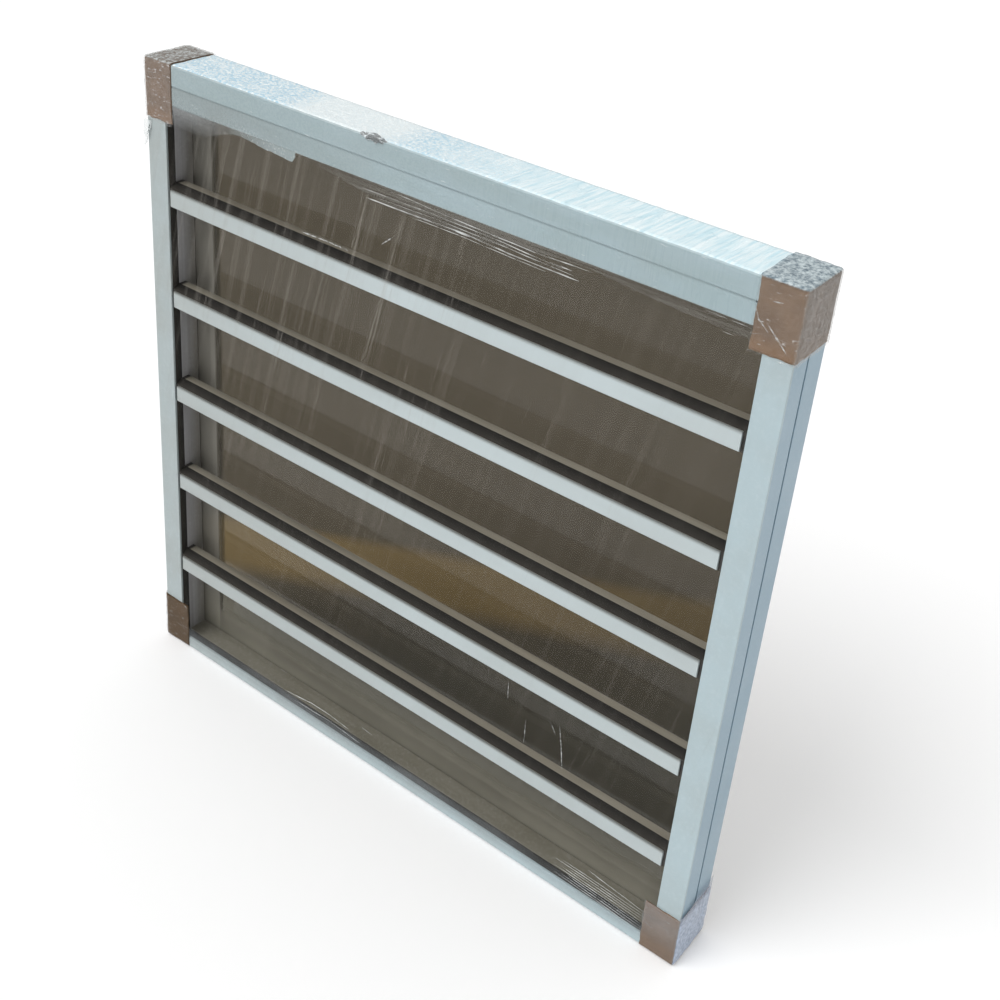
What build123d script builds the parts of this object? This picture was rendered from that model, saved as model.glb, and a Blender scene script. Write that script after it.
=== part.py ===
from build123d import *
import os

os.makedirs("parts", exist_ok=True)

# Overall size of the frame without its corner guards
width = 600
height = 600
depth = 46

# Frame sections
wall = 1.6
jamb_face = 22
head_face = 17.4
sill_face = 11.3
edge_radius = 0.5
lip = 2
groove_width = 7.3
groove_drop = 8
channel_middle = 22.2
channel_width = 2.4
channel_drop = 3

# Glazing
gasket = 1
gasket_bite = 6
glass_thickness = 4
glass_front = 29.5
glass_bite = 8
bead_thickness = 1.6

# Cover strip under the head
strip_height = 15.4
strip_gap = 1.4
strip_depth = 18

# Security bars
bar_count = 5
bar_height = 15.2
bar_first = 100.3
bar_pitch = 95.6
bar_neck = 6
bar_box_depth = 7.4
bar_box_extra = 4.4
bar_end_gap = 3.2
gasket_slope = 0.8

# Corner guards folded from card
guard_wall = 1.2
guard_width = 31
guard_height = 50
fold_radius = 2.2

# Levels worked out from the sizes above
base = guard_wall
top = base + height
front = -depth / 2
half = width / 2
groove_end = lip + groove_width
stop_end = glass_front - gasket
glass_back = glass_front + glass_thickness
bead_front = glass_back + gasket
opening_half = half - jamb_face
opening_low = base + sill_face
opening_high = top - head_face


def save(part, name):
    """Write one node as a STEP file of its own."""
    part.label = name
    export_step(part, f"parts/{name}.step")


def section(*points):
    """A closed section: depth from the front against distance in from the outer edge."""
    return make_face(Polyline(*points, close=True))


def rectangle(depth_0, depth_1, in_0, in_1):
    """A rectangular section between two depths and two distances in."""
    return section((depth_0, in_0), (depth_0, in_1), (depth_1, in_1), (depth_1, in_0))


def laid(sketch, corner, along, length, mitre=0):
    """Lay a section from a corner along one side, growing inward, mitred at both ends if asked."""
    origin = (corner[0], front, corner[1])
    side = extrude(Plane(origin=origin, x_dir=(0, 1, 0), z_dir=along) * sketch, length)
    if mitre:
        plane = Plane(origin=origin, x_dir=along, z_dir=(0, -1, 0))
        outline = section((0, 0), (length, 0), (length - mitre, mitre), (mitre, mitre))
        side &= extrude(plane * outline, 2 * depth, both=True)
    return side


def ring(sketch, x, low, high, mitre, name):
    """Save four mitred sides of one section, laid inside a rectangle."""
    save(laid(sketch, (-x, low), (1, 0, 0), 2 * x, mitre), f"{name}_sill")
    save(laid(sketch, (x, low), (0, 0, 1), high - low, mitre), f"{name}_jamb_right")
    save(laid(sketch, (x, high), (-1, 0, 0), 2 * x, mitre), f"{name}_head")
    save(laid(sketch, (-x, high), (0, 0, -1), high - low, mitre), f"{name}_jamb_left")


def softened(sketch, *corners):
    """Round the named corners of a section, as an extruded profile has them."""
    near = [v for v in sketch.vertices() if any((Vector(*c) - Vector(v)).length < 0.01 for c in corners)]
    return fillet(near, edge_radius)


def frame_section(face):
    """White lip, open groove, hollow body up to the glass, rebate behind it and outer channel."""
    drop = min(groove_drop, face - 2 * wall)
    floor = face - glass_bite - wall / 2
    outline = section(
        (0, 0),
        (0, face),
        (lip, face),
        (lip, face - drop),
        (groove_end, face - drop),
        (groove_end, face),
        (stop_end, face),
        (stop_end, floor),
        (depth, floor),
        (depth, 0),
    )
    outline = softened(outline, (0, 0), (0, face), (depth, 0))
    outline -= rectangle(groove_end + wall, stop_end - wall, channel_drop + wall, face - wall)
    if floor > channel_drop + 2 * wall:
        outline -= rectangle(stop_end + wall, depth - wall, wall, floor - wall)
    channel_depth = min(channel_drop, floor - wall)
    channel_start = channel_middle - channel_width / 2
    return outline - rectangle(channel_start, channel_start + channel_width, 0, channel_depth)


# Frame with its jambs cut square between the sill and the head
save(laid(frame_section(sill_face), (-half, base), (1, 0, 0), width), "frame_sill")
save(laid(frame_section(head_face), (half, top), (-1, 0, 0), width), "frame_head")
jamb = frame_section(jamb_face)
jamb_length = opening_high - opening_low
save(laid(jamb, (half, opening_low), (0, 0, 1), jamb_length), "frame_jamb_right")
save(laid(jamb, (-half, opening_high), (0, 0, -1), jamb_length), "frame_jamb_left")

# Black strip pressed into the groove behind the white lip
groove_strip = rectangle(lip, groove_end, 0, groove_drop)
strip_half = opening_half + groove_drop
strip_low = opening_low - groove_drop
strip_high = opening_high + groove_drop
ring(groove_strip, strip_half, strip_low, strip_high, groove_drop, "groove_strip")

# Hollow cover strip fixed under the head between the jambs
cover = softened(rectangle(0, strip_depth, 0, strip_height), (0, 0), (0, strip_height))
cover -= rectangle(wall, strip_depth - wall, wall, strip_height - wall)
cover_top = opening_high - strip_gap
save(laid(cover, (opening_half, cover_top), (-1, 0, 0), 2 * opening_half), "head_strip")

# Bars: flat white front, narrow neck and hollow box, with a wedge gasket above and below the neck
half_face = bar_height / 2
half_box = half_face + bar_box_extra
half_neck = bar_neck / 2
box_end = groove_end + bar_box_depth
bar_section = softened(rectangle(0, lip, -half_face, half_face), (0, -half_face), (0, half_face))
bar_section += rectangle(lip, groove_end, -half_neck, half_neck)
bar_section += rectangle(groove_end, box_end, -half_box, half_box)
bar_section -= rectangle(groove_end + wall, box_end - wall, wall - half_box, half_box - wall)
wedge = section(
    (lip, half_neck),
    (lip, half_face + gasket_slope),
    (groove_end, half_box),
    (groove_end, half_neck),
)
wedges = wedge + mirror(wedge, Plane.XZ)
for number in range(bar_count):
    middle = base + bar_first + number * bar_pitch
    bar = laid(bar_section, (-opening_half, middle), (1, 0, 0), 2 * opening_half)
    for side in (-1, 1):
        notch = Pos(side * opening_half, front + lip / 2, middle) * Box(2 * bar_end_gap, lip, bar_height)
        bar -= notch
    save(bar, f"bar_{bar_count - number}")
    strips = laid(wedges, (-opening_half, middle), (1, 0, 0), 2 * opening_half)
    save(strips, f"bar_{bar_count - number}_gasket")

# Glass with a gasket on both faces and beads at the back
glass_half = opening_half + glass_bite
glass_low = opening_low - glass_bite
glass_high = opening_high + glass_bite
pane = rectangle(glass_front, glass_back, 0, glass_high - glass_low)
save(laid(pane, (-glass_half, glass_low), (1, 0, 0), 2 * glass_half), "glass_pane")
front_gasket = rectangle(stop_end, glass_front, 0, gasket_bite)
ring(front_gasket, glass_half, glass_low, glass_high, glass_bite, "front_gasket")
rear_gasket = rectangle(glass_back, bead_front, 0, gasket_bite)
ring(rear_gasket, glass_half, glass_low, glass_high, glass_bite, "rear_gasket")
bead = softened(rectangle(bead_front, depth, 0, glass_bite), (depth, glass_bite))
bead -= rectangle(bead_front + bead_thickness, depth - bead_thickness, 0, glass_bite - bead_thickness)
ring(bead, glass_half, glass_low, glass_high, glass_bite, "bead")

# Corner guards as open trays over the front, back, end and side of a corner, with rounded folds
tray_width = guard_width + guard_wall
tray_height = guard_height + guard_wall
tray = Box(tray_width, depth + 2 * guard_wall, tray_height, align=Align.MIN)
folds = [edge for edge in tray.edges() if edge.center().X < guard_width and edge.center().Z < guard_height]
tray = fillet(folds, fold_radius)
hollow = Pos(guard_wall, guard_wall, guard_wall) * Box(guard_width, depth, guard_height, align=Align.MIN)
guard = Pos(-guard_wall, front - guard_wall, -guard_wall) * (tray - hollow)
for vertical, z in (("bottom", base), ("top", top)):
    upright = guard if vertical == "bottom" else mirror(guard, Plane.XY)
    save(Pos(-half, 0, z) * upright, f"guard_{vertical}_left")
    save(Pos(half, 0, z) * mirror(upright, Plane.YZ), f"guard_{vertical}_right")
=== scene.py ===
import math

import bmesh
import bpy
from bpy.props import FloatProperty, FloatVectorProperty, PointerProperty
from bpy.types import Operator, Panel, PropertyGroup
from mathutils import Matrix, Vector, noise


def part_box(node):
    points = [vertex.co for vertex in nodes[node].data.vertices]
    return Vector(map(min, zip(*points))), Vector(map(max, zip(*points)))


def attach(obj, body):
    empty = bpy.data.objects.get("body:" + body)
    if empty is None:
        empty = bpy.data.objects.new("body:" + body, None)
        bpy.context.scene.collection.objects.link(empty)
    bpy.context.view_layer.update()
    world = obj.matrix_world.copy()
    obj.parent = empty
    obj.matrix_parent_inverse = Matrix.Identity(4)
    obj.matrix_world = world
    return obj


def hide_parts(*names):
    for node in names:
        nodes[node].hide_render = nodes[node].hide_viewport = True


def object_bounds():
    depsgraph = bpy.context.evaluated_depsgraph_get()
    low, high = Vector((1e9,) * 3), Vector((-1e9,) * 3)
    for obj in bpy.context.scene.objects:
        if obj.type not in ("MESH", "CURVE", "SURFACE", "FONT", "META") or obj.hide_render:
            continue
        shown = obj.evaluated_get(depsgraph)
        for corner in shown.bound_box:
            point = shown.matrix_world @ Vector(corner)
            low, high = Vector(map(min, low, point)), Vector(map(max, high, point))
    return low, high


bl_info = {
    "name": "Barred Window Dresser",
    "version": (1, 0, 0),
    "blender": (4, 5, 0),
    "location": "3D View > Sidebar > Window",
    "description": "Gives a barred window its coatings, glass, card corner guards and stretch film",
    "category": "Object",
}

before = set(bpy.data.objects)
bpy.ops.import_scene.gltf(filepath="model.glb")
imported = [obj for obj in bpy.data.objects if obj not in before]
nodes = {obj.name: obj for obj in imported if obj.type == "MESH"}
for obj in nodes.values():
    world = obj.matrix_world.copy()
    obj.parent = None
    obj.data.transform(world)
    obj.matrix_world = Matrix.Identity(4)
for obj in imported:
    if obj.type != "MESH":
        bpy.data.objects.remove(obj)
cad_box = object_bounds()

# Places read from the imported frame, in metres
head_low, head_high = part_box("frame_head")
sill_low, sill_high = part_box("frame_sill")
front = head_low.y
back = head_high.y
outer = head_high.x
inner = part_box("frame_jamb_right")[0].x
frame_base = sill_low.z
frame_top = head_high.z
opening_low = sill_high.z
opening_high = head_low.z
film_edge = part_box("head_strip")[0].z
groove_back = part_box("groove_strip_head")[1].y
guard_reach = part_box("guard_top_right")[0].x
bar_low = sum(corner.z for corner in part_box("bar_5")) / 2
bar_pitch = sum(corner.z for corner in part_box("bar_4")) / 2 - bar_low

# Sizes that no box in the frame gives, in metres
bar_half = 0.0076
bar_end_gap = 0.0032
lip = 0.002

# Corners as name, side and end: side is 1 on the right, end is 1 at the top
corners = [
    (f"{level}_{hand}", side, end)
    for level, end in (("top", 1), ("bottom", -1))
    for hand, side in (("left", -1), ("right", 1))
]


def colour(name, description, value):
    """A colour that the user can change."""
    return FloatVectorProperty(
        name=name, description=description, default=value, subtype="COLOR", size=3, min=0, max=1
    )


def length(name, description, value):
    """A length in metres that the user can change."""
    return FloatProperty(name=name, description=description, default=value, unit="LENGTH", precision=4)


def share(name, description, value):
    """A share from 0 to 1 that the user can change."""
    return FloatProperty(name=name, description=description, default=value, min=0, max=1, subtype="FACTOR")


class WindowFinishes(PropertyGroup):
    """Colours of the window's coatings, glass, rubber and card."""

    face: colour("White face", "Coating on the faces that look outdoors", (0.425, 0.53, 0.565))
    # Dull face is also the grey that the white faces and bars turn towards the left
    dull_face: colour("Dull face", "White coating where dust lies on it", (0.36, 0.39, 0.378))
    outside: colour("Outside", "Coating on the outer sides of the frame", (0.31, 0.44, 0.527))
    reveal: colour("Reveal", "Grey coating on the jambs' inner sides", (0.38, 0.38, 0.395))
    ledge: colour("Ledge", "Taupe coating on the ledges of the head and sill", (0.155, 0.145, 0.113))
    bar_face: colour("Bar face", "White coating on the fronts of the bars", (0.51, 0.58, 0.595))
    bar_body: colour("Bar body", "Taupe coating on the bodies of the bars", (0.235, 0.215, 0.17))
    rubber: colour("Rubber", "Black gaskets and groove strips", (0.009, 0.0085, 0.008))
    glass: colour("Glass", "Bronze tint of the pane", (0.089, 0.077, 0.057))
    # Painted reflections in the pane: a warm leaning band and a greyer tone low down
    warm: colour("Warm band", "Tint of the band that leans over the pane", (0.158, 0.118, 0.060))
    glass_low: colour("Low glass", "Tint of the pane low down", (0.083, 0.078, 0.062))
    card: colour("Card", "Brown card of the corner guards", (0.205, 0.14, 0.095))
    damp_card: colour("Damp card", "Card of the guard that has been wet", (0.088, 0.053, 0.025))


class WindowGuards(PropertyGroup):
    """Shape of the folded card corner guards."""

    fold_radius: length("Fold radius", "Radius of the card's folded edges", 0.0024)
    card: length("Card thickness", "Thickness of the card", 0.0012)
    swell: length("Swell", "How far the panels stand out of flat", 0.0005)
    cell: length("Cell", "Size of the mesh cells on the card", 0.0018)


class WindowFilm(PropertyGroup):
    """The clear stretch film."""

    gap: length("Gap", "How far the film lies off what carries it", 0.0005)
    crinkle: length("Crinkle", "Height of the film's creases", 0.0004)
    cell: length("Cell", "Size of the mesh cells in the film", 0.0022)
    fold_radius: length("Fold radius", "Radius of the film's folds round a guard", 0.0030)
    pale: colour("Pale film", "Film where it catches the light", (0.94, 1.0, 1.0))
    grey: colour("Grey film", "Film drawn flat over a face", (0.49, 0.61, 0.65))


class WindowStage(PropertyGroup):
    """Camera, lamps and floor."""

    lens: FloatProperty(name="Lens", description="Focal length of the camera", default=50.226, unit="CAMERA")
    key: FloatProperty(name="Key lamp", description="Strength of the lamp in front", default=1.73)
    top: FloatProperty(name="Top lamp", description="Strength of the lamp overhead", default=0.8)
    sky: share("Sky", "Strength of the even light all round", 0.45)
    floor_size: length("Floor", "Width of the floor", 30.0)


class Finish:
    """A material whose pattern nodes are added one by one, in object space."""

    def __init__(self, name, **sockets):
        self.material = bpy.data.materials.new(name)
        self.material.use_nodes = True
        self.tree = self.material.node_tree
        self.shader = self.tree.nodes["Principled BSDF"]
        self.place = self.node("ShaderNodeTexCoord").outputs["Object"]
        split = self.node("ShaderNodeSeparateXYZ", Vector=self.place)
        self.x, self.y, self.z = split.outputs
        for socket, value in sockets.items():
            self.give(socket.replace("_", " "), value)

    def node(self, kind, options=None, **inputs):
        made = self.tree.nodes.new(kind)
        for option, value in (options or {}).items():
            setattr(made, option, value)
        for socket, value in inputs.items():
            self.plug(made.inputs[socket.replace("_", " ")], value)
        return made

    def plug(self, socket, value):
        """Link a node's output to a socket, or write a plain value on it."""
        if isinstance(value, bpy.types.NodeSocket):
            self.tree.links.new(value, socket)
        elif isinstance(value, (int, float)) or len(value) == len(socket.default_value):
            socket.default_value = value
        else:
            socket.default_value = (*value, 1)

    def give(self, socket, value):
        self.plug(self.shader.inputs[socket], value)

    def sum(self, operation, *values):
        """One arithmetic step."""
        made = self.tree.nodes.new("ShaderNodeMath")
        made.operation = operation
        for socket, value in zip(made.inputs, values):
            self.plug(socket, value)
        return made.outputs[0]

    def times(self, *values):
        """The product of several patterns."""
        product = values[0]
        for value in values[1:]:
            product = self.sum("MULTIPLY", product, value)
        return product

    def fade(self, value, low, high, most=1.0):
        """0 at low, most at high and even between them."""
        reach = {"From Min": low, "From Max": high, "To Max": most}
        return self.node("ShaderNodeMapRange", {"clamp": True}, Value=value, **reach).outputs[0]

    def between(self, value, low, high, soft):
        """1 from low to high and 0 outside, over a soft edge."""
        return self.times(self.fade(value, low - soft, low), self.fade(value, high + soft, high))

    def speckle(self, size, detail=3.0, stretch=(1, 1, 1), turn=(0, 0, 0), shift=(0, 0, 0), rough=0.55):
        """Soft noise with features of about this size in metres, longer where stretch is above 1."""
        scale = tuple(1 / s for s in stretch)
        turned = self.node("ShaderNodeMapping", Vector=self.place, Rotation=turn, Location=shift).outputs[0]
        place = self.node("ShaderNodeMapping", Vector=turned, Scale=scale).outputs[0]
        made = self.node("ShaderNodeTexNoise", Vector=place, Scale=1 / size, Detail=detail, Roughness=rough)
        return made.outputs[0]

    def patches(self, size, detail, low, high, **pattern):
        """Speckle cut to 0 below low and 1 above high."""
        return self.fade(self.speckle(size, detail, **pattern), low, high)

    def lines(self, size, sharp, **pattern):
        """Thin wandering lines, about this far apart."""
        middle = self.sum("SUBTRACT", self.speckle(size, 2.0, **pattern), 0.5)
        return self.fade(self.sum("ABSOLUTE", middle), sharp, 0.0)

    def is_value(self, end):
        """True for a plain number and for the output of a step that gives one."""
        return isinstance(end, (int, float)) or getattr(end, "type", "") == "VALUE"

    def blend(self, factor, first, second):
        """A value or colour between two."""
        if self.is_value(first) or self.is_value(second):
            made = self.node("ShaderNodeMix", {"data_type": "FLOAT"})
            sockets, output = (0, 2, 3), 0
        else:
            made = self.node("ShaderNodeMix", {"data_type": "RGBA"})
            sockets, output = (0, 6, 7), 2
        for socket, value in zip(sockets, (factor, first, second)):
            self.plug(made.inputs[socket], value)
        return made.outputs[output]

    def raise_surface(self, height, strength, distance, edge=0.0):
        """Bump from a pattern, over edges that are rounded a little."""
        made = self.node("ShaderNodeBump", Height=height, Strength=strength, Distance=distance)
        if edge:
            rounded = self.node("ShaderNodeBevel", {"samples": 4}, Radius=edge)
            self.plug(made.inputs["Normal"], rounded.outputs[0])
        self.give("Normal", made.outputs[0])


def paint(material, *names):
    """Give nodes of the frame this material in their own slots."""
    for name in names:
        slots = nodes[name].material_slots
        if not slots:
            nodes[name].data.materials.append(material)
        for slot in slots:
            slot.material = material


def place_piece(bm, name, material):
    """Turn a mesh in the making into a smooth piece that rides on the window."""
    mesh = bpy.data.meshes.new(name)
    bm.to_mesh(mesh)
    bm.free()
    for face in mesh.polygons:
        face.use_smooth = True
    mesh.materials.append(material)
    piece = bpy.data.objects.new(name, mesh)
    bpy.context.scene.collection.objects.link(piece)
    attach(piece, "root")
    return piece


def ripple(point, size, seed=0.0):
    """Smooth noise from -1 to 1 with features of this size in metres."""
    return noise.noise(Vector(point) / size + Vector((seed, seed * 1.7, seed * 0.6)))


def ease(value, low, high):
    """0 at low, 1 at high and smooth between them."""
    along = min(max((value - low) / (high - low), 0), 1)
    return along * along * (3 - 2 * along)


def coat(name, inward, dusty=0.35):
    """White outdoor faces, bluish outer sides and darker surfaces behind the groove."""
    look = bpy.context.scene.window_finishes
    finish = Finish(name, Roughness=0.4)
    margin = 0.001
    reach = finish.sum("LESS_THAN", finish.sum("ABSOLUTE", finish.x), inner + margin)
    height = finish.between(finish.z, opening_low - margin, opening_high + margin, 0.0001)
    behind = finish.sum("GREATER_THAN", finish.y, groove_back - 0.0015)
    at_front = finish.sum("LESS_THAN", finish.y, front + lip - 0.0001)
    at_back = finish.sum("GREATER_THAN", finish.y, back - 0.0003)
    faced = finish.sum("MAXIMUM", at_front, at_back)
    cloud = finish.speckle(0.06, 4.0, shift=(1.3, 0.2, 0.7))
    grain = finish.speckle(0.003, 3.0)
    # The faces turn greyer towards the left, as well as in dusty patches
    leftward = finish.fade(finish.x, 0.22, -0.30)
    dusted = finish.times(finish.fade(cloud, 0.42, 0.75), dusty)
    dull = finish.sum("ADD", finish.times(leftward, 0.6), dusted)
    outdoor = finish.blend(faced, look.outside, finish.blend(dull, look.face, look.dull_face))
    base = finish.blend(finish.times(reach, height, behind), outdoor, inward(finish))
    light = finish.fade(grain, 0.5, 0.8, 0.10)
    finish.give("Base Color", finish.blend(light, base, (0.8, 0.86, 0.88)))
    finish.give("Roughness", finish.sum("MULTIPLY_ADD", cloud, 0.3, 0.25))
    finish.raise_surface(finish.speckle(0.0012, 2.0), 0.12, 0.0002, 0.0005)
    return finish.material


def reveal_tone(finish):
    """Grey inner side of a jamb, in upright bands that darken towards the glass."""
    look = bpy.context.scene.window_finishes
    band = finish.speckle(0.0035, 3.0, stretch=(1, 1, 60))
    near = finish.fade(finish.y, groove_back + 0.006, groove_back + 0.016)
    tone = finish.blend(near, look.reveal, (0.27, 0.26, 0.235))
    return finish.blend(finish.fade(band, 0.42, 0.72, 0.5), tone, (0.20, 0.195, 0.185))


def ledge_tone(finish):
    """Taupe ledge with long soft smears along it."""
    look = bpy.context.scene.window_finishes
    smear = finish.speckle(0.012, 4.0, stretch=(9, 1, 1))
    return finish.blend(finish.fade(smear, 0.35, 0.72), look.ledge, (0.21, 0.20, 0.165))


class WINDOW_OT_coat_frame(Operator):
    """Coat the frame, the strip under the head and the beads."""

    bl_idname = "window.coat_frame"
    bl_label = "Coat frame"

    def execute(self, context):
        beads = [f"bead_{side}" for side in ("head", "sill", "jamb_left", "jamb_right")]
        paint(coat("jamb_coating", reveal_tone), "frame_jamb_left", "frame_jamb_right")
        paint(coat("rail_coating", ledge_tone), "frame_head", "frame_sill")
        paint(coat("head_strip_coating", ledge_tone, 0.5), "head_strip")
        paint(coat("bead_coating", ledge_tone), *beads)
        return {"FINISHED"}


class WINDOW_OT_coat_bars(Operator):
    """Coat the bars white in front and taupe on the body behind."""

    bl_idname = "window.coat_bars"
    bl_label = "Coat bars"

    def execute(self, context):
        look = context.scene.window_finishes
        finish = Finish("bar_coating", Roughness=0.38)
        white = finish.sum("LESS_THAN", finish.y, front + lip - 0.0003)
        streak = finish.speckle(0.006, 4.0, stretch=(14, 1, 1))
        cloud = finish.speckle(0.045, 3.0, stretch=(3, 1, 1), shift=(0.4, 0, 0.3))
        # The bar faces turn greyer lower down and towards the left, as well as in dusty patches
        low = finish.fade(finish.z, 0.42, 0.08)
        leftward = finish.fade(finish.x, 0.0, -0.28)
        dull = finish.sum("ADD", finish.times(low, 0.3), finish.fade(cloud, 0.4, 0.8, 0.3))
        dull = finish.sum("ADD", dull, finish.times(leftward, 0.55))
        face = finish.blend(dull, look.bar_face, look.dull_face)
        # Painted shade: the top 2.4 mm of each bar's white face darken towards its edge, where the face
        # rounds away from the light
        step = finish.sum("DIVIDE", finish.sum("SUBTRACT", finish.z, bar_low), bar_pitch)
        above = finish.sum("SUBTRACT", step, finish.sum("ROUND", step))
        shaded_top_edge = finish.fade(above, (bar_half - 0.0024) / bar_pitch, (bar_half + 0.0002) / bar_pitch)
        face = finish.blend(finish.times(shaded_top_edge, 0.75), face, (0.10, 0.10, 0.09))
        upper = finish.fade(finish.z, 0.40, 0.52)
        body = finish.blend(finish.fade(streak, 0.35, 0.7), look.bar_body, (0.29, 0.27, 0.22))
        shaded = finish.fade(finish.y, groove_back + 0.001, groove_back + 0.0065, 0.6)
        far = finish.fade(finish.x, 0.15, -0.15)
        shadow = finish.times(far, finish.sum("MULTIPLY_ADD", shaded, 0.7, 0.12))
        body = finish.blend(shadow, body, (0.09, 0.085, 0.07))
        body = finish.blend(finish.times(upper, 0.4), body, (0.16, 0.14, 0.11))
        # Painted shadow: the bar bodies turn almost black just before each end gap, where the jamb shades
        # them
        gap_edge = inner - bar_end_gap
        end_gap_shadow = finish.fade(finish.sum("ABSOLUTE", finish.x), gap_edge - 0.001, gap_edge - 0.0002)
        body = finish.blend(end_gap_shadow, body, (0.014, 0.013, 0.012))
        finish.give("Base Color", finish.blend(white, body, face))
        finish.give("Roughness", finish.sum("MULTIPLY_ADD", streak, 0.25, 0.25))
        finish.raise_surface(finish.speckle(0.0012, 2.0), 0.12, 0.0002, 0.0004)
        bars = [name for name in nodes if name.startswith("bar_") and "gasket" not in name]
        paint(finish.material, *bars)
        return {"FINISHED"}


class WINDOW_OT_fit_rubber(Operator):
    """Give the gaskets and groove strips their black rubber."""

    bl_idname = "window.fit_rubber"
    bl_label = "Fit rubber"

    def execute(self, context):
        look = context.scene.window_finishes
        finish = Finish("black_rubber", Roughness=0.6)
        bloom = finish.speckle(0.012, 4.0, stretch=(4, 1, 1))
        grain = finish.speckle(0.0015, 3.0)
        # Painted light: the rubber turns paler towards the front, where more light reaches it, besides its
        # dusty blooms
        outward = finish.fade(finish.y, groove_back - 0.001, front + lip)
        dusty = finish.fade(bloom, 0.45, 0.8, 0.15)
        grey = finish.sum("ADD", dusty, finish.times(outward, 0.6))
        finish.give("Base Color", finish.blend(grey, look.rubber, (0.045, 0.040, 0.033)))
        finish.give("Roughness", finish.sum("MULTIPLY_ADD", bloom, 0.3, 0.45))
        finish.raise_surface(grain, 0.2, 0.0003)
        strips = [name for name in nodes if "gasket" in name or name.startswith("groove_strip")]
        paint(finish.material, *strips)
        return {"FINISHED"}


class WINDOW_OT_tint_glass(Operator):
    """Give the pane its dark bronze tint, with painted reflections: a warm leaning band, a greyer lower
    part, a pale left edge with a dark line and a pale foot.
    """

    bl_idname = "window.tint_glass"
    bl_label = "Tint glass"

    def execute(self, context):
        look = context.scene.window_finishes
        finish = Finish("bronze_glass", Roughness=0.05, IOR=1.25)
        reflection_slope = -0.34
        reflection_low = 0.172
        reflection_high = 0.244
        mirror_edge = 0.0215 - inner
        mirrored_ledge_height = 0.078
        cloud = finish.speckle(0.07, 3.0, stretch=(2.2, 1, 1))
        lean = finish.sum("MULTIPLY_ADD", finish.x, reflection_slope, finish.z)
        # Painted reflection: the pane's tone turns greyer low down, along a leaning line
        lower = finish.fade(finish.sum("MULTIPLY_ADD", cloud, 0.06, lean), 0.22, 0.14)
        tone = finish.blend(lower, look.glass, look.glass_low)
        tone = finish.blend(finish.fade(cloud, 0.42, 0.7, 0.3), tone, (0.102, 0.087, 0.062))
        # Painted reflection: a warm band of the surroundings that leans across the pane, weaker at the right
        above = finish.fade(lean, reflection_low, reflection_low + 0.018)
        below = finish.fade(lean, reflection_high, reflection_high - 0.012)
        weaker = finish.blend(finish.fade(finish.x, 0.1, 0.25), 1.0, 0.6)
        tone = finish.blend(finish.times(above, below, weaker), tone, look.warm)
        # Painted reflection of the left jamb: a pale strip along the pane's left edge, then the dark line of
        # the jamb's black gasket
        mirrored = finish.fade(finish.x, mirror_edge + 0.003, mirror_edge)
        tone = finish.blend(finish.times(mirrored, 0.8), tone, (0.30, 0.29, 0.255))
        edge = finish.between(finish.x, mirror_edge + 0.004, mirror_edge + 0.006, 0.001)
        tone = finish.blend(finish.times(edge, 0.8), tone, (0.02, 0.02, 0.018))
        # Painted reflection of the sill ledge: the pane turns pale and less clear low down
        mirrored_ledge = finish.fade(finish.z, opening_low + mirrored_ledge_height, opening_low + 0.002)
        mirrored_ledge = finish.times(mirrored_ledge, finish.blend(finish.fade(cloud, 0.35, 0.7), 0.8, 1.0))
        finish.give("Base Color", finish.blend(mirrored_ledge, tone, (0.36, 0.345, 0.285)))
        finish.give("Transmission Weight", finish.blend(finish.sum("MAXIMUM", mirrored_ledge, mirrored), 0.93, 0.3))
        finish.raise_surface(finish.speckle(0.12, 1.0), 0.05, 0.0004)
        paint(finish.material, "glass_pane")
        return {"FINISHED"}


def tray(low, high, side, end, radius, cell, shape, rim):
    """Front, back, outer side and closed end of a corner on one grid, with rounded edges."""
    size = high - low
    counts = [max(2, round(size[axis] / cell)) for axis in range(3)]
    shut = [(side < 0, side > 0), (True, True), (end < 0, end > 0)]
    bm = bmesh.new()
    verts = {}

    def vert(*key):
        if key not in verts:
            point = Vector(low[a] + size[a] * key[a] / counts[a] for a in range(3))
            core = Vector(
                min(max(point[a], low[a] + radius * shut[a][0]), high[a] - radius * shut[a][1])
                for a in range(3)
            )
            out = (point - core).normalized()
            open_z = point.z - low.z if end > 0 else high.z - point.z
            open_x = point.x - low.x if side > 0 else high.x - point.x
            rounded = core + out * radius + out * shape(point)
            rounded.z -= end * rim(point) * (1 - ease(open_z, 0, 0.012))
            rounded.x -= side * rim(point.zxy) * (1 - ease(open_x, 0, 0.010))
            rounded.z = max(rounded.z, cad_box[0].z)
            verts[key] = bm.verts.new(rounded)
        return verts[key]

    def panel(axis, level):
        first, second = [a for a in range(3) if a != axis]
        for i in range(counts[first]):
            for j in range(counts[second]):
                ring = []
                for di, dj in ((0, 0), (1, 0), (1, 1), (0, 1)):
                    key = [0, 0, 0]
                    key[axis], key[first], key[second] = level, i + di, j + dj
                    ring.append(vert(*key))
                bm.faces.new(ring)

    panel(1, 0)
    panel(1, counts[1])
    panel(0, counts[0] if side > 0 else 0)
    panel(2, counts[2] if end > 0 else 0)
    bmesh.ops.recalc_face_normals(bm, faces=bm.faces)
    return bm


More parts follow.
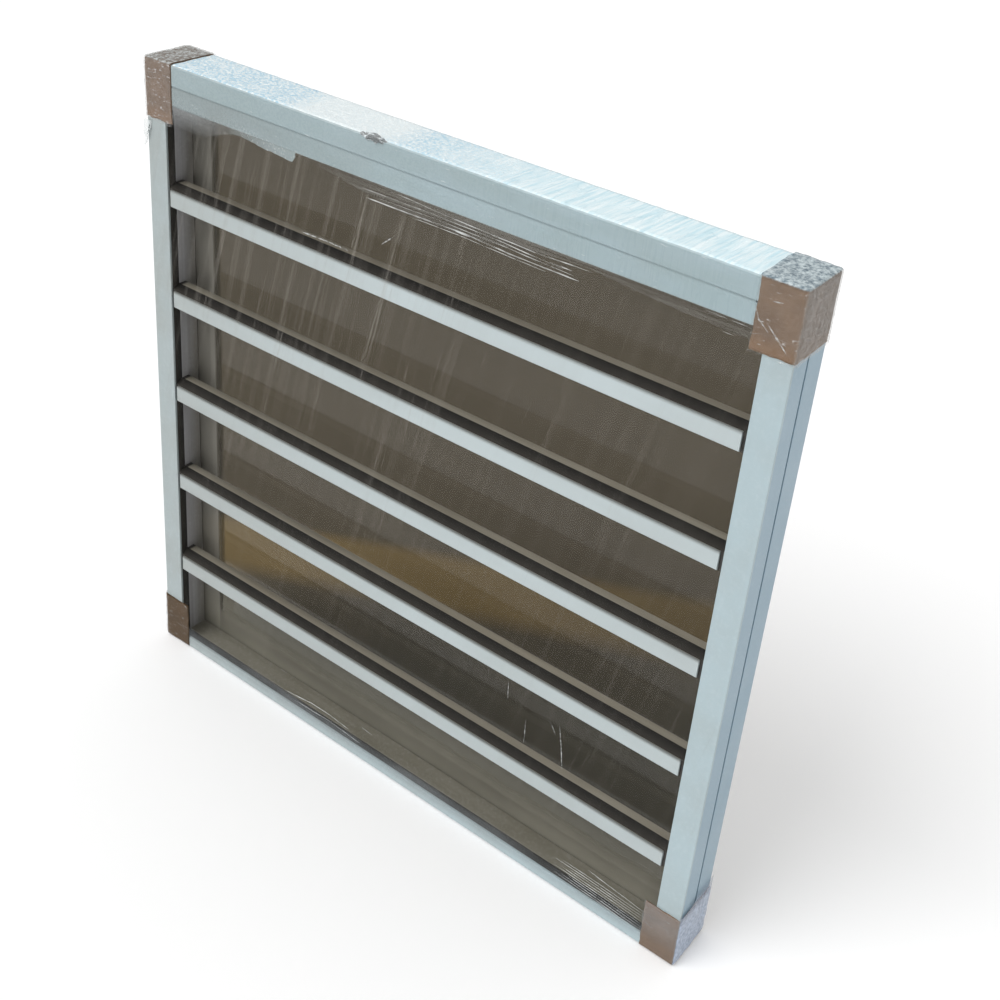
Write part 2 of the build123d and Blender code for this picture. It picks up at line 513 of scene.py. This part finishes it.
class WINDOW_OT_fold_guards(Operator):
    """Fold the four corner guards from brown card."""

    bl_idname = "window.fold_guards"
    bl_label = "Fold guards"

    def execute(self, context):
        shape = context.scene.window_guards
        look = context.scene.window_finishes
        for number, (corner, side, end) in enumerate(corners):
            low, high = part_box(f"guard_{corner}")

            def swell(point):
                soft = ripple(point, 0.022, number + 1) + 0.4 * ripple(point, 0.007, number + 5)
                return shape.swell * (soft - 0.5)

            def rim(point):
                return 0.0007 * ripple(point, 0.008, number + 3) + 0.0003 * ripple(point, 0.002, number)

            bm = tray(low, high, side, end, shape.fold_radius, shape.cell, swell, rim)
            piece = place_piece(bm, f"card_guard_{corner}", self.card(look, corner, low, high, side, end))
            thick = piece.modifiers.new("card", "SOLIDIFY")
            thick.thickness = shape.card
            thick.offset = -1
            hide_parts(f"guard_{corner}")
        return {"FINISHED"}

    def card(self, look, corner, low, high, side, end):
        """Fibrous brown card, worn pale on its folds and brighter along its open edge."""
        finish = Finish(f"card_{corner}", Roughness=0.75)
        tone = look.damp_card if corner == "bottom_left" else look.card
        dark = tuple(part * 0.78 for part in tone)
        patch = finish.speckle(0.016, 4.0, shift=(low.x * 3, 0, low.z))
        fibre = finish.speckle(0.0016, 4.0, stretch=(5, 5, 1))
        body = finish.blend(finish.fade(patch, 0.38, 0.68), tone, dark)
        open_edge = low.z if end > 0 else high.z
        bare = finish.fade(finish.z, open_edge + end * 0.013, open_edge, 0.6)
        warm = finish.blend(bare, body, (0.225, 0.125, 0.06) if corner != "bottom_left" else tone)
        near_fold = finish.fade(finish.sum("MULTIPLY", finish.x, side), outer - 0.0012, outer + 0.0004)
        worn = finish.times(near_fold, finish.fade(finish.y, front + 0.0012, front - 0.0004), 0.5)
        pale = finish.sum("ADD", worn, finish.fade(fibre, 0.55, 0.85, 0.25))
        finish.give("Base Color", finish.blend(pale, warm, (0.33, 0.25, 0.19)))
        finish.give("Roughness", finish.sum("MULTIPLY_ADD", patch, -0.25, 0.82))
        finish.raise_surface(fibre, 0.3, 0.0003)
        return finish.material


def swept_film(path, x_low, x_high, cell, settle):
    """Film carried along x over a path of (y, z) points, each point then settled where it lies."""
    places = []
    for (y0, z0), (y1, z1) in zip(path, path[1:]):
        count = max(1, round(math.hypot(y1 - y0, z1 - z0) / cell))
        places += [(y0 + (y1 - y0) * k / count, z0 + (z1 - z0) * k / count) for k in range(count)]
    places.append(path[-1])
    normals = []
    for k in range(len(places)):
        before, after = places[max(k - 1, 0)], places[min(k + 1, len(places) - 1)]
        along = Vector((0, after[0] - before[0], after[1] - before[1])).normalized()
        normals.append(along.cross(Vector((1, 0, 0))))
    bm = bmesh.new()
    columns = round((x_high - x_low) / cell)
    rows = []
    for i in range(columns + 1):
        x = x_low + (x_high - x_low) * i / columns
        settled = [settle(Vector((x, *place)), normal) for place, normal in zip(places, normals)]
        rows.append([bm.verts.new(point) for point in settled])
    for first, second in zip(rows, rows[1:]):
        for k in range(len(places) - 1):
            bm.faces.new((first[k], second[k], second[k + 1], first[k + 1]))
    bmesh.ops.recalc_face_normals(bm, faces=bm.faces)
    return bm


def hem(x):
    """How far the film hangs below the strip: a web at the left, a torn flap, a sag midway, a long end."""
    web = 0.015 * ease(-x, 0.185, 0.240)
    flap = 0.0062 * ease(x, -0.215, -0.132) * ease(-x, 0.1265, 0.1310)
    sag = 0.013 * ease(x, -0.130, -0.010) * ease(-x, -0.15, -0.03)
    end = 0.008 * ease(x, 0.10, 0.25)
    return 0.0018 + web + flap + sag + end + 0.0006 * ripple((x, 0, 0), 0.004, 2)


class WINDOW_OT_wrap_head(Operator):
    """Wrap the head in stretch film, over its top and down both faces."""

    bl_idname = "window.wrap_head"
    bl_label = "Wrap head"

    def execute(self, context):
        film = context.scene.window_film
        skin = film.gap
        fold = 0.0012
        drop = 0.020
        back_reach = 0.030
        path = [
            (back + skin, frame_top - back_reach),
            (back + skin, frame_top - fold),
            (back - fold, frame_top + skin),
            (front + fold, frame_top + skin),
            (front - skin, frame_top - fold),
            (front - skin, film_edge),
            (front - skin, film_edge - drop),
        ]

        def settle(point, normal):
            torn = ease(abs(point.x), guard_reach - 0.012, guard_reach)
            point.x -= math.copysign(torn * 0.0010 * (1 + ripple(point, 0.005, 12)), point.x)
            stretched = ease(point.x, -0.15, 0.15)
            grainy = ripple(point, 0.0065, 3) + 0.6 * ripple(point, 0.003, 9)
            drawn = ripple((point.x + 0.2 * point.y, point.y * 0.1, point.z * 0.1), 0.0045, 5)
            height = grainy * (1 - stretched) + drawn * stretched * 1.2
            on_top = ease(point.z, frame_top - 0.002, frame_top)
            lift = film.crinkle * (0.35 + 0.65 * on_top) * (0.5 + 0.5 * height)
            if point.y < front and point.z < film_edge:
                hang = (film_edge - point.z) / drop
                sway = 0.001 * hang * ripple(point, 0.02, 6)
                point = Vector((point.x, point.y + sway, film_edge - hem(point.x) * hang))
            return point + normal * lift

        bm = swept_film(path, -guard_reach, guard_reach, film.cell, settle)
        piece = place_piece(bm, "film_head", self.film_over_head(film))
        return {"FINISHED"}

    def film_over_head(self, film):
        """Milky on the head's top, thin and grey down its faces, ragged where it hangs below."""
        finish = Finish("film_over_head", Roughness=0.22, IOR=1.45)
        on_top = finish.fade(finish.z, frame_top - 0.0012, frame_top + 0.0002)
        below = finish.fade(finish.z, film_edge + 0.0004, film_edge - 0.0004)
        at_back = finish.sum("GREATER_THAN", finish.y, back - 0.0005)
        soft = finish.speckle(0.02, 3.0, stretch=(5, 1, 1))
        dashes = finish.patches(0.0014, 2.0, 0.71, 0.76, stretch=(8, 1, 1))
        pattern, top = self.top_look(finish, film)
        flap, lumps, hung, hanging = self.hem_look(finish)
        face = finish.blend(finish.fade(soft, 0.4, 0.65), film.grey, (0.43, 0.54, 0.56))
        shaded = finish.fade(finish.z, opening_high + 0.0005, opening_high - 0.0005)
        shaded = finish.times(shaded, finish.fade(finish.x, -0.04, -0.20, 0.75))
        face = finish.blend(shaded, face, (0.32, 0.365, 0.365))
        face = finish.blend(finish.times(below, finish.sum("SUBTRACT", 1.0, flap)), face, hung)
        # Painted glints: short pale dashes on the film over the face, and pale lumps along the hem
        face = finish.blend(finish.sum("MAXIMUM", finish.times(dashes, 0.7), lumps), face, film.pale)
        finish.give("Base Color", finish.blend(on_top, face, top))
        hidden = finish.blend(finish.fade(soft, 0.35, 0.7), 0.42, 0.56)
        hidden = finish.blend(below, hidden, finish.sum("MAXIMUM", hanging, finish.times(lumps, 0.9)))
        hidden = finish.blend(at_back, hidden, 0.35)
        finish.give("Alpha", finish.blend(on_top, hidden, finish.blend(pattern, 0.86, 0.97)))
        finish.give("Roughness", finish.blend(pattern, 0.35, 0.2))
        finish.raise_surface(finish.times(pattern, on_top), 0.4, 0.0006)
        return finish.material

    def top_look(self, finish, film):
        """Pattern and colour of the film on the head's top, grainy at the left and drawn at the right."""
        right = finish.fade(finish.x, -0.04, 0.10)
        grain = finish.patches(0.0024, 4.0, 0.44, 0.57, rough=0.75)
        drawn = finish.patches(0.0022, 3.0, 0.36, 0.62, stretch=(1, 14, 14), turn=(0, 0, 0.05))
        creases = finish.lines(0.008, 0.018, stretch=(1, 6, 6), turn=(0, 0, 0.12))
        cloud = finish.patches(0.030, 3.0, 0.48, 0.62, stretch=(1.6, 1, 1))
        # Painted sheen: a pale band across the top left of centre, and paler clouds
        sheen = finish.between(finish.x, -0.125, -0.045, 0.025)
        bright = finish.sum("MAXIMUM", finish.times(cloud, 0.3), sheen)
        pattern = finish.blend(right, grain, finish.times(drawn, 0.7))
        shade = finish.blend(right, (0.47, 0.71, 0.85), (0.66, 0.88, 0.95))
        shade = finish.blend(finish.times(bright, 0.85), shade, film.pale)
        top = finish.blend(pattern, shade, film.pale)
        # Painted shade: thin darker crease lines on the drawn film at the right
        return pattern, finish.blend(finish.times(creases, right, 0.45), top, (0.50, 0.70, 0.78))

    def hem_look(self, finish):
        """Where the hem has its flap and lumps, and its colour and the share that it hides."""
        web = finish.fade(finish.x, -0.170, -0.240)
        flap = finish.between(finish.x, -0.200, -0.1285, 0.0012)
        threads = finish.patches(0.0022, 1.0, 0.40, 0.62, stretch=(90, 1, 1), turn=(0, 0.01, 0))
        near_edge = finish.sum("LESS_THAN", finish.z, film_edge + 0.002)
        lumps = finish.times(finish.patches(0.0016, 3.0, 0.60, 0.70), near_edge)
        lumps = finish.times(lumps, finish.between(finish.x, -0.185, -0.128, 0.008))
        # Painted shade: the hanging film is dark between its paler threads
        tone = finish.blend(threads, (0.075, 0.07, 0.062), (0.25, 0.25, 0.235))
        tone = finish.blend(web, tone, (0.23, 0.24, 0.24))
        thinner = finish.fade(finish.z, film_edge - 0.018, film_edge - 0.002)
        hidden = finish.blend(threads, 0.26, 0.34)
        hidden = finish.blend(finish.fade(finish.x, -0.120, -0.060), 0.10, hidden)
        hidden = finish.blend(web, hidden, finish.times(thinner, 0.78))
        on_flap = finish.blend(finish.fade(finish.x, -0.200, -0.150), 0.25, 0.66)
        return flap, lumps, tone, finish.blend(flap, hidden, on_flap)


# Shade and light of the film where the photograph doesn't show it
plain_film = ((0.40, 0.42, 0.43), (0.80, 0.86, 0.90))

# Film over each corner guard, on its front, outer side and end: share hidden, shade and light
corner_films = {
    "top_left": (
        (0.12, (0.42, 0.38, 0.36), (0.80, 0.80, 0.80)),
        (0.30, *plain_film),
        (0.62, (0.26, 0.23, 0.20), (0.62, 0.66, 0.66)),
    ),
    "top_right": (
        (0.05, (0.40, 0.34, 0.29), (0.80, 0.80, 0.78)),
        (0.35, (0.49, 0.48, 0.45), (0.55, 0.53, 0.50)),
        (0.90, (0.17, 0.23, 0.27), (0.58, 0.66, 0.68)),
    ),
    "bottom_left": (
        (0.01, (0.30, 0.28, 0.26), (0.50, 0.50, 0.48)),
        (0.30, *plain_film),
        (0.20, *plain_film),
    ),
    "bottom_right": (
        (0.26, (0.38, 0.40, 0.42), (0.50, 0.53, 0.55)),
        (0.84, (0.40, 0.48, 0.62), (0.58, 0.68, 0.84)),
        (0.20, *plain_film),
    ),
}


class WINDOW_OT_wrap_corners(Operator):
    """Wrap each corner guard in its own turn of film."""

    bl_idname = "window.wrap_corners"
    bl_label = "Wrap corners"

    def execute(self, context):
        film = context.scene.window_film
        jamb_climb = 0.013
        for number, (corner, side, end) in enumerate(corners):
            low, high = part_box(f"guard_{corner}")
            skin = Vector((film.gap, film.gap, film.gap)) * 1.4
            low, high = low - skin, high + skin
            if end < 0:
                low.z = cad_box[0].z
                high.z += 0.001
            else:
                low.z -= 0.001
            climb = jamb_climb if corner == "bottom_right" else 0.0

            def crumple(point):
                folds = ripple(point, 0.006, number + 11) + 0.7 * ripple(point, 0.0028, number + 2)
                return film.crinkle * folds

            def rim(point):
                on_side = ease(abs(point.x), outer - 0.001, outer + 0.0005)
                rise = climb * on_side * (0.25 + 0.75 * ease(point.y, front, back - 0.012))
                return rise + 0.0012 * ripple(point, 0.008, number + 4)

            bm = tray(low, high, side, end, film.fold_radius, film.cell, crumple, rim)
            piece = place_piece(bm, f"film_corner_{corner}", self.film_over_corner(corner, side, end))
        return {"FINISHED"}

    def film_over_corner(self, corner, side, end):
        """Film that hides each face of a guard by its own share, paler along creases."""
        finish = Finish(f"film_{corner}", Roughness=0.22, IOR=1.45)
        outward = finish.sum("MULTIPLY", finish.x, side)
        upward = finish.sum("MULTIPLY", finish.z, end)
        level = frame_top if end > 0 else -frame_base
        on_side = finish.fade(outward, outer + 0.0002, outer + 0.0012)
        on_end = finish.fade(upward, level + 0.0002, level + 0.0012)
        crumpled = finish.patches(0.0032, 4.0, 0.38, 0.64, rough=0.65, shift=(outer * side, 0, level))
        creases = finish.lines(0.009, 0.014, stretch=(5, 1, 1), turn=(0, 0.15 * end - 0.05 * side, 0))
        pattern = finish.sum("MAXIMUM", crumpled, creases)
        (hidden, shade, light), *others = corner_films[corner]
        tone = finish.blend(pattern, shade, light)
        sparse = finish.times(creases, finish.patches(0.014, 2.0, 0.52, 0.60))
        rare = 0.63 if corner == "top_left" else 0.67
        glints = finish.fade(finish.speckle(0.0017, 2.0, stretch=(4, 1, 1)), rare, rare + 0.05)
        tone = finish.blend(glints, tone, light)
        solid = finish.sum("ADD", hidden, finish.times(finish.sum("MAXIMUM", sparse, glints), 0.45))
        for where, (hidden, shade, light) in zip((on_side, on_end), others):
            tone = finish.blend(where, tone, finish.blend(pattern, shade, light))
            swing = 0.25 * min(hidden, 1 - hidden) + 0.03
            patchy = finish.blend(pattern, hidden - swing, min(hidden + swing, 1.0))
            solid = finish.blend(where, solid, patchy)
        if corner == "bottom_right":
            lower = finish.fade(finish.z, frame_base + 0.034, frame_base + 0.012)
            rim = finish.fade(finish.z, frame_base + 0.066, frame_base + 0.046)
            solid = finish.blend(on_side, finish.blend(lower, solid, 0.05), finish.times(solid, rim))
        finish.give("Base Color", tone)
        finish.give("Alpha", solid)
        finish.raise_surface(finish.speckle(0.0045, 4.0), 0.3, 0.0010)
        return finish.material


class WINDOW_OT_stretch_veil(Operator):
    """Stretch one thin turn of film over the front, from the head to the sill."""

    bl_idname = "window.stretch_veil"
    bl_label = "Stretch veil"

    def execute(self, context):
        film = context.scene.window_film
        plane = front - film.gap * 0.6
        path = [(plane, film_edge + 0.001), (plane, frame_base + 0.002)]

        def settle(point, normal):
            return point + normal * 0.0002 * ripple((point.x, 0, point.z * 0.25), 0.02, 4)

        bm = swept_film(path, -outer + 0.003, outer - 0.003, 0.008, settle)
        piece = place_piece(bm, "film_veil_front", self.thin_film())
        return {"FINISHED"}

    def thin_film(self):
        """Almost clear film, with leaning streaks at the upper left and a haze along the sill."""
        finish = Finish("film_veil", Roughness=0.3, IOR=1.4)
        drawn = {"stretch": (1, 1, 60), "turn": (0, -0.24, 0)}
        fine = finish.lines(0.012, 0.009, **drawn)
        broad = finish.patches(0.005, 2.0, 0.50, 0.75, **drawn)
        broken = finish.patches(0.045, 2.0, 0.47, 0.60, stretch=(0.5, 1, 1.8))
        left = finish.fade(finish.x, 0.10, -0.14)
        upper = finish.fade(finish.z, 0.26, 0.46)
        where = finish.sum("MULTIPLY_ADD", finish.times(left, upper), 0.8, 0.2)
        streaks = finish.sum("ADD", finish.times(fine, broken, 0.22), finish.times(broad, 0.10))
        low = finish.between(finish.z, frame_base + 0.0095, frame_base + 0.020, 0.006)
        cloudy = finish.patches(0.02, 3.0, 0.4, 0.65, stretch=(4, 1, 1))
        cloudy = finish.blend(cloudy, 0.14, 0.30)
        haze = finish.times(low, finish.blend(finish.fade(finish.x, 0.16, -0.02), 0.7, 1.0))
        see = finish.sum("ADD", finish.times(streaks, where), finish.times(haze, cloudy))
        finish.give("Base Color", finish.blend(low, (0.60, 0.56, 0.50), (0.38, 0.41, 0.43)))
        finish.give("Alpha", finish.sum("ADD", see, 0.006))
        finish.raise_surface(broad, 0.2, 0.0005)
        return finish.material


def ribbon(bm, points, width, number):
    """One narrow wavy ribbon of gathered film through (x, z) points just in front of the window."""
    plane = front - 0.0013
    before = None
    for (x0, z0), (x1, z1) in zip(points, points[1:]):
        run = math.hypot(x1 - x0, z1 - z0)
        count = max(3, round(run / 0.0025))
        across = Vector((-(z1 - z0), 0, x1 - x0)) / run
        for k in range(count + 1):
            middle = Vector((x0 + (x1 - x0) * k / count, plane, z0 + (z1 - z0) * k / count))
            reach = min((middle - Vector((x, plane, z))).length for x, z in (points[0], points[-1]))
            taper = min(1, (reach + 0.0004) / 0.010) ** 0.6
            half = width / 2 * taper * (0.8 + 0.4 * ripple(middle, 0.012, number + 3))
            twist = 0.5 * ripple(middle, 0.03, number + 8)
            wave = 0.0003 * ripple(middle, 0.02, number) * taper
            turned = across * math.cos(twist) + Vector((0, math.sin(twist) * 0.5, 0))
            middle += across * wave
            pair = (bm.verts.new(middle + turned * half), bm.verts.new(middle - turned * half))
            if before:
                bm.faces.new((before[0], before[1], pair[1], pair[0]))
            before = pair


def ribbons(name, lines, material):
    """Several ribbons as one piece, each from its points and width."""
    bm = bmesh.new()
    for number, (width, *points) in enumerate(lines):
        ribbon(bm, points, width, number)
    return place_piece(bm, name, material)


# Gathered film under the head: width, then places across and up, in metres
head_ribbons = [
    (0.0007, (-0.060, 0.5600), (0.008, 0.5605), (0.075, 0.5592), (0.125, 0.5566)),
    (0.0009, (-0.025, 0.5655), (0.043, 0.5623), (0.102, 0.5608), (0.150, 0.5622)),
    (0.0011, (-0.055, 0.5535), (-0.006, 0.5538), (0.041, 0.5548), (0.078, 0.5527), (0.139, 0.5523)),
    (0.0006, (-0.040, 0.5565), (0.020, 0.5575), (0.080, 0.5565), (0.135, 0.5545)),
    (0.0006, (-0.010, 0.5515), (0.035, 0.5522), (0.080, 0.5505), (0.112, 0.5500)),
    (0.0017, (0.0316, 0.5541), (0.0453, 0.5539)),
    (0.0013, (0.1130, 0.5576), (0.1330, 0.5578)),
    (0.0013, (0.2358, 0.5659), (0.2510, 0.5657)),
    (0.0011, (0.2546, 0.5656), (0.2675, 0.5655)),
    (0.0011, (0.2492, 0.5561), (0.2579, 0.5559)),
]

# Threads of the fan that is drawn into the lower right corner
fan_threads = [
    (
        0.0007,
        (0.182 + 0.007 * (k % 3), 0.0200 + 0.0026 * k),
        (0.226, 0.0180 + 0.0028 * k),
        (0.268, 0.0150 + 0.0030 * k),
    )
    for k in range(8)
]

# Gathered film above the sill
sill_ribbons = fan_threads + [
    (0.0010, (0.214, 0.0450), (0.242, 0.0415), (0.268, 0.0385)),
    (0.0012, (-0.133, 0.0262), (-0.099, 0.0310), (-0.0750, 0.0312), (-0.0506, 0.0285)),
    (0.0009, (-0.120, 0.0215), (-0.075, 0.0235), (-0.035, 0.0205)),
    (0.0009, (-0.156, 0.0455), (-0.150, 0.0460)),
    (0.0009, (-0.137, 0.0485), (-0.131, 0.0480)),
    (0.0010, (-0.035, 0.0410), (-0.0227, 0.0400)),
]

# Short creases of film over the bars and between them, and one painted highlight
crease_ribbons = [
    (0.0009, (0.1174, 0.1870), (0.1183, 0.1685)),
    (0.0009, (0.1376, 0.1590), (0.1381, 0.1360)),
    (0.0009, (0.1610, 0.1720), (0.1670, 0.1620)),
    (0.0009, (0.1696, 0.1730), (0.1740, 0.1500), (0.1768, 0.1310)),
    (0.0018, (-0.0365, 0.5212), (-0.0262, 0.5302)),
    # Painted highlight: a pale ribbon that stands for the glint along bar 1's top edge
    (0.0016, (-0.1200, 0.5043), (-0.0960, 0.5050), (-0.0700, 0.5047)),
    (0.0015, (0.2786, 0.5720), (0.2950, 0.5564)),
    (0.0018, (0.2690, 0.5800), (0.2720, 0.5730), (0.2800, 0.5665)),
    (0.0018, (0.2795, 0.5880), (0.2862, 0.5890)),
]


class WINDOW_OT_gather_film(Operator):
    """Gather the film into ribbons below the head, above the sill and over the bars."""

    bl_idname = "window.gather_film"
    bl_label = "Gather film"

    def execute(self, context):
        for name, lines, broken, dim, flat in (
            ("film_ribbons_head", head_ribbons, 0.010, 0.13, (0.010, 0.18)),
            ("film_ribbons_sill", sill_ribbons, 0.009, 0.30, (0.010, 0.10)),
            ("film_creases_front", crease_ribbons, 0.0022, 0.10, (0.010, 0.022)),
        ):
            piece = ribbons(name, lines, self.bright_film(name, broken, dim))
            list(flat)
        return {"FINISHED"}

    def bright_film(self, name, size, dim):
        """Film folded on itself, catching the light in broken dashes, with dim film between them."""
        finish = Finish(name, Roughness=0.18, Base_Color=(0.85, 0.88, 0.88), IOR=1.45)
        broken = finish.speckle(size, 2.0, stretch=(2, 1, 1))
        finish.give("Alpha", finish.sum("MULTIPLY_ADD", finish.fade(broken, 0.40, 0.68), 0.55, dim))
        finish.raise_surface(broken, 0.4, 0.0005)
        return finish.material


class WINDOW_OT_knot_film(Operator):
    """Bunch the film into a knot on the head's front edge and fray it at the left jamb."""

    bl_idname = "window.knot_film"
    bl_label = "Knot film"

    def execute(self, context):
        self.knot((-0.0635, -0.0365), 0.0036)
        self.fray((-outer, 0.548), (-outer - 0.0015, 0.524), 0.009)
        return {"FINISHED"}

    def knot(self, reach, radius):
        """A squeezed roll of film lying along the edge."""
        low, high = reach
        along_count = 30
        round_count = 18
        bm = bmesh.new()
        rings = []
        for i in range(along_count + 1):
            along = i / along_count
            centre = Vector((low + (high - low) * along, front + 0.0016, frame_top - 0.0008))
            fat = radius * math.sin(math.pi * (0.04 + 0.92 * along)) ** 0.5
            ring = []
            for k in range(round_count):
                angle = math.tau * k / round_count
                out = Vector((0, math.cos(angle), math.sin(angle) * 0.75))
                rough = 1 + 0.55 * ripple(centre + out * 0.004, 0.0035, 2)
                ring.append(bm.verts.new(centre + out * fat * rough))
            rings.append(ring)
        for first, second in zip(rings, rings[1:]):
            for k in range(round_count):
                bm.faces.new((first[k], first[k - 1], second[k - 1], second[k]))
        bmesh.ops.recalc_face_normals(bm, faces=bm.faces)
        finish = Finish("film_knot", Roughness=0.3, IOR=1.45)
        folds = finish.patches(0.0026, 4.0, 0.42, 0.62, stretch=(2.5, 1, 1))
        # Painted shade and light: the knot's folds in dark and pale patches
        finish.give("Base Color", finish.blend(folds, (0.13, 0.12, 0.115), (0.80, 0.86, 0.88)))
        finish.give("Alpha", finish.blend(folds, 0.55, 0.85))
        finish.raise_surface(folds, 0.6, 0.0006)
        piece = place_piece(bm, "film_knot", finish.material)

    def fray(self, upper, lower, wide):
        """A torn scrap of film that hangs from the guard along the jamb's outer edge."""
        (x0, z0), (x1, z1) = upper, lower
        down_count = 14
        across_count = 8
        bm = bmesh.new()
        rows = []
        for i in range(down_count + 1):
            down = i / down_count
            row = []
            for k in range(across_count + 1):
                across = k / across_count - 0.35
                torn = 1 - 0.6 * down + 0.45 * ripple((down * 0.05, 0, k), 0.012, 5)
                x = x0 + (x1 - x0) * down + wide * across * max(torn, 0.1)
                point = Vector((x, front - 0.0016, z0 + (z1 - z0) * down * (1 - 0.25 * abs(across))))
                point.y += 0.0022 * ripple(point, 0.007, 7)
                row.append(bm.verts.new(point))
            rows.append(row)
        for first, second in zip(rows, rows[1:]):
            for k in range(across_count):
                bm.faces.new((first[k], first[k + 1], second[k + 1], second[k]))
        finish = Finish("film_fray", Roughness=0.22, IOR=1.45)
        folds = finish.patches(0.004, 4.0, 0.36, 0.64, stretch=(1, 1, 2))
        finish.give("Base Color", finish.blend(folds, (0.48, 0.53, 0.53), (0.80, 0.84, 0.84)))
        finish.give("Alpha", finish.blend(folds, 0.25, 0.75))
        finish.raise_surface(folds, 0.5, 0.0008)
        piece = place_piece(bm, "film_fray_left", finish.material)


class WINDOW_OT_set_stage(Operator):
    """Set the floor, the lamps and the camera."""

    bl_idname = "window.set_stage"
    bl_label = "Set stage"

    def execute(self, context):
        stage = context.scene.window_stage
        self.floor(context, stage)
        self.lamps(context, stage)
        self.sky(context, stage)
        self.camera(context, stage)
        context.scene.view_settings.view_transform = "Standard"
        return {"FINISHED"}

    def floor(self, context, stage):
        """A pale floor that shows white to the camera and keeps the window's shadow."""
        half = stage.floor_size / 2
        floor_gap = 0.0006
        level = cad_box[0].z - floor_gap
        square = [(-half, -half, level), (half, -half, level), (half, half, level), (-half, half, level)]
        mesh = bpy.data.meshes.new("floor")
        mesh.from_pydata(square, [], [(0, 1, 2, 3)])
        finish = Finish("floor_paint", Roughness=0.9, Base_Color=(0.86, 0.86, 0.86))
        finish.give("Specular IOR Level", 0.0)
        path = finish.node("ShaderNodeLightPath")
        seen = finish.sum("MAXIMUM", path.outputs["Is Camera Ray"], path.outputs["Is Glossy Ray"])
        seen = finish.sum("MAXIMUM", seen, path.outputs["Is Transmission Ray"])
        finish.give("Emission Color", (1.0, 1.0, 1.0))
        finish.give("Emission Strength", finish.times(seen, 0.14))
        mesh.materials.append(finish.material)
        floor = bpy.data.objects.new("floor", mesh)
        context.scene.collection.objects.link(floor)

    def lamps(self, context, stage):
        """A wide soft lamp from the front left and a wider one overhead."""
        for name, strength, angle, source in (
            ("key_lamp", stage.key, 40, (-0.3, -0.6, 0.74)),
            ("top_lamp", stage.top, 90, (0, 0, 1)),
        ):
            lamp = bpy.data.lights.new(name, "SUN")
            lamp.energy = strength
            lamp.angle = math.radians(angle)
            holder = bpy.data.objects.new(name, lamp)
            holder.rotation_euler = (-Vector(source)).to_track_quat("-Z", "Y").to_euler()
            holder.visible_glossy = False
            context.scene.collection.objects.link(holder)

    def sky(self, context, stage):
        """Even light from all round, which shows white to the camera."""
        world = bpy.data.worlds.new("even_light")
        context.scene.world = world
        world.use_nodes = True
        tree = world.node_tree
        ground = tree.nodes["Background"]
        path = tree.nodes.new("ShaderNodeLightPath")
        seen = tree.nodes.new("ShaderNodeMath")
        seen.operation = "MAXIMUM"
        tree.links.new(path.outputs["Is Camera Ray"], seen.inputs[0])
        tree.links.new(path.outputs["Is Transmission Ray"], seen.inputs[1])
        strength = tree.nodes.new("ShaderNodeMapRange")
        tree.links.new(seen.outputs[0], strength.inputs["Value"])
        strength.inputs["To Min"].default_value = stage.sky
        strength.inputs["To Max"].default_value = 1.0
        tree.links.new(strength.outputs[0], ground.inputs["Strength"])
        ground.inputs["Color"].default_value = (1.0, 1.0, 1.0, 1)

    def camera(self, context, stage):
        """The photograph's view, from the window's right and above."""
        lens = bpy.data.cameras.new("camera")
        lens.lens = stage.lens
        lens.sensor_width = 36
        lens.shift_y = -0.15037
        camera = bpy.data.objects.new("camera", lens)
        camera.location = (0.58855, -0.75130, 0.94954)
        camera.rotation_euler = (1.079564, -0.079354, 0.653092)
        context.scene.collection.objects.link(camera)
        context.scene.camera = camera


class WINDOW_PT_dresser(Panel):
    """The window's settings and steps."""

    bl_idname = "WINDOW_PT_dresser"
    bl_label = "Barred window"
    bl_space_type = "VIEW_3D"
    bl_region_type = "UI"
    bl_category = "Window"

    def draw(self, context):
        for name in groups:
            group = getattr(context.scene, name)
            box = self.layout.box()
            box.label(text=name.split("_")[1].capitalize())
            for key in group.__annotations__:
                box.prop(group, key)
        for step in steps:
            self.layout.operator(step.bl_idname)


groups = {
    "window_finishes": WindowFinishes,
    "window_guards": WindowGuards,
    "window_film": WindowFilm,
    "window_stage": WindowStage,
}
steps = (
    WINDOW_OT_coat_frame,
    WINDOW_OT_coat_bars,
    WINDOW_OT_fit_rubber,
    WINDOW_OT_tint_glass,
    WINDOW_OT_fold_guards,
    WINDOW_OT_wrap_head,
    WINDOW_OT_wrap_corners,
    WINDOW_OT_stretch_veil,
    WINDOW_OT_gather_film,
    WINDOW_OT_knot_film,
    WINDOW_OT_set_stage,
)


def register():
    for name, group in groups.items():
        bpy.utils.register_class(group)
        setattr(bpy.types.Scene, name, PointerProperty(type=group))
    for step in steps:
        bpy.utils.register_class(step)
    bpy.utils.register_class(WINDOW_PT_dresser)


def unregister():
    bpy.utils.unregister_class(WINDOW_PT_dresser)
    for step in reversed(steps):
        bpy.utils.unregister_class(step)
    for name, group in reversed(groups.items()):
        delattr(bpy.types.Scene, name)
        bpy.utils.unregister_class(group)


def main():
    """Dress the window step by step."""
    register()
    for step in steps:
        family, action = step.bl_idname.split(".")
        getattr(getattr(bpy.ops, family), action)()


if __name__ == "__main__":
    main()
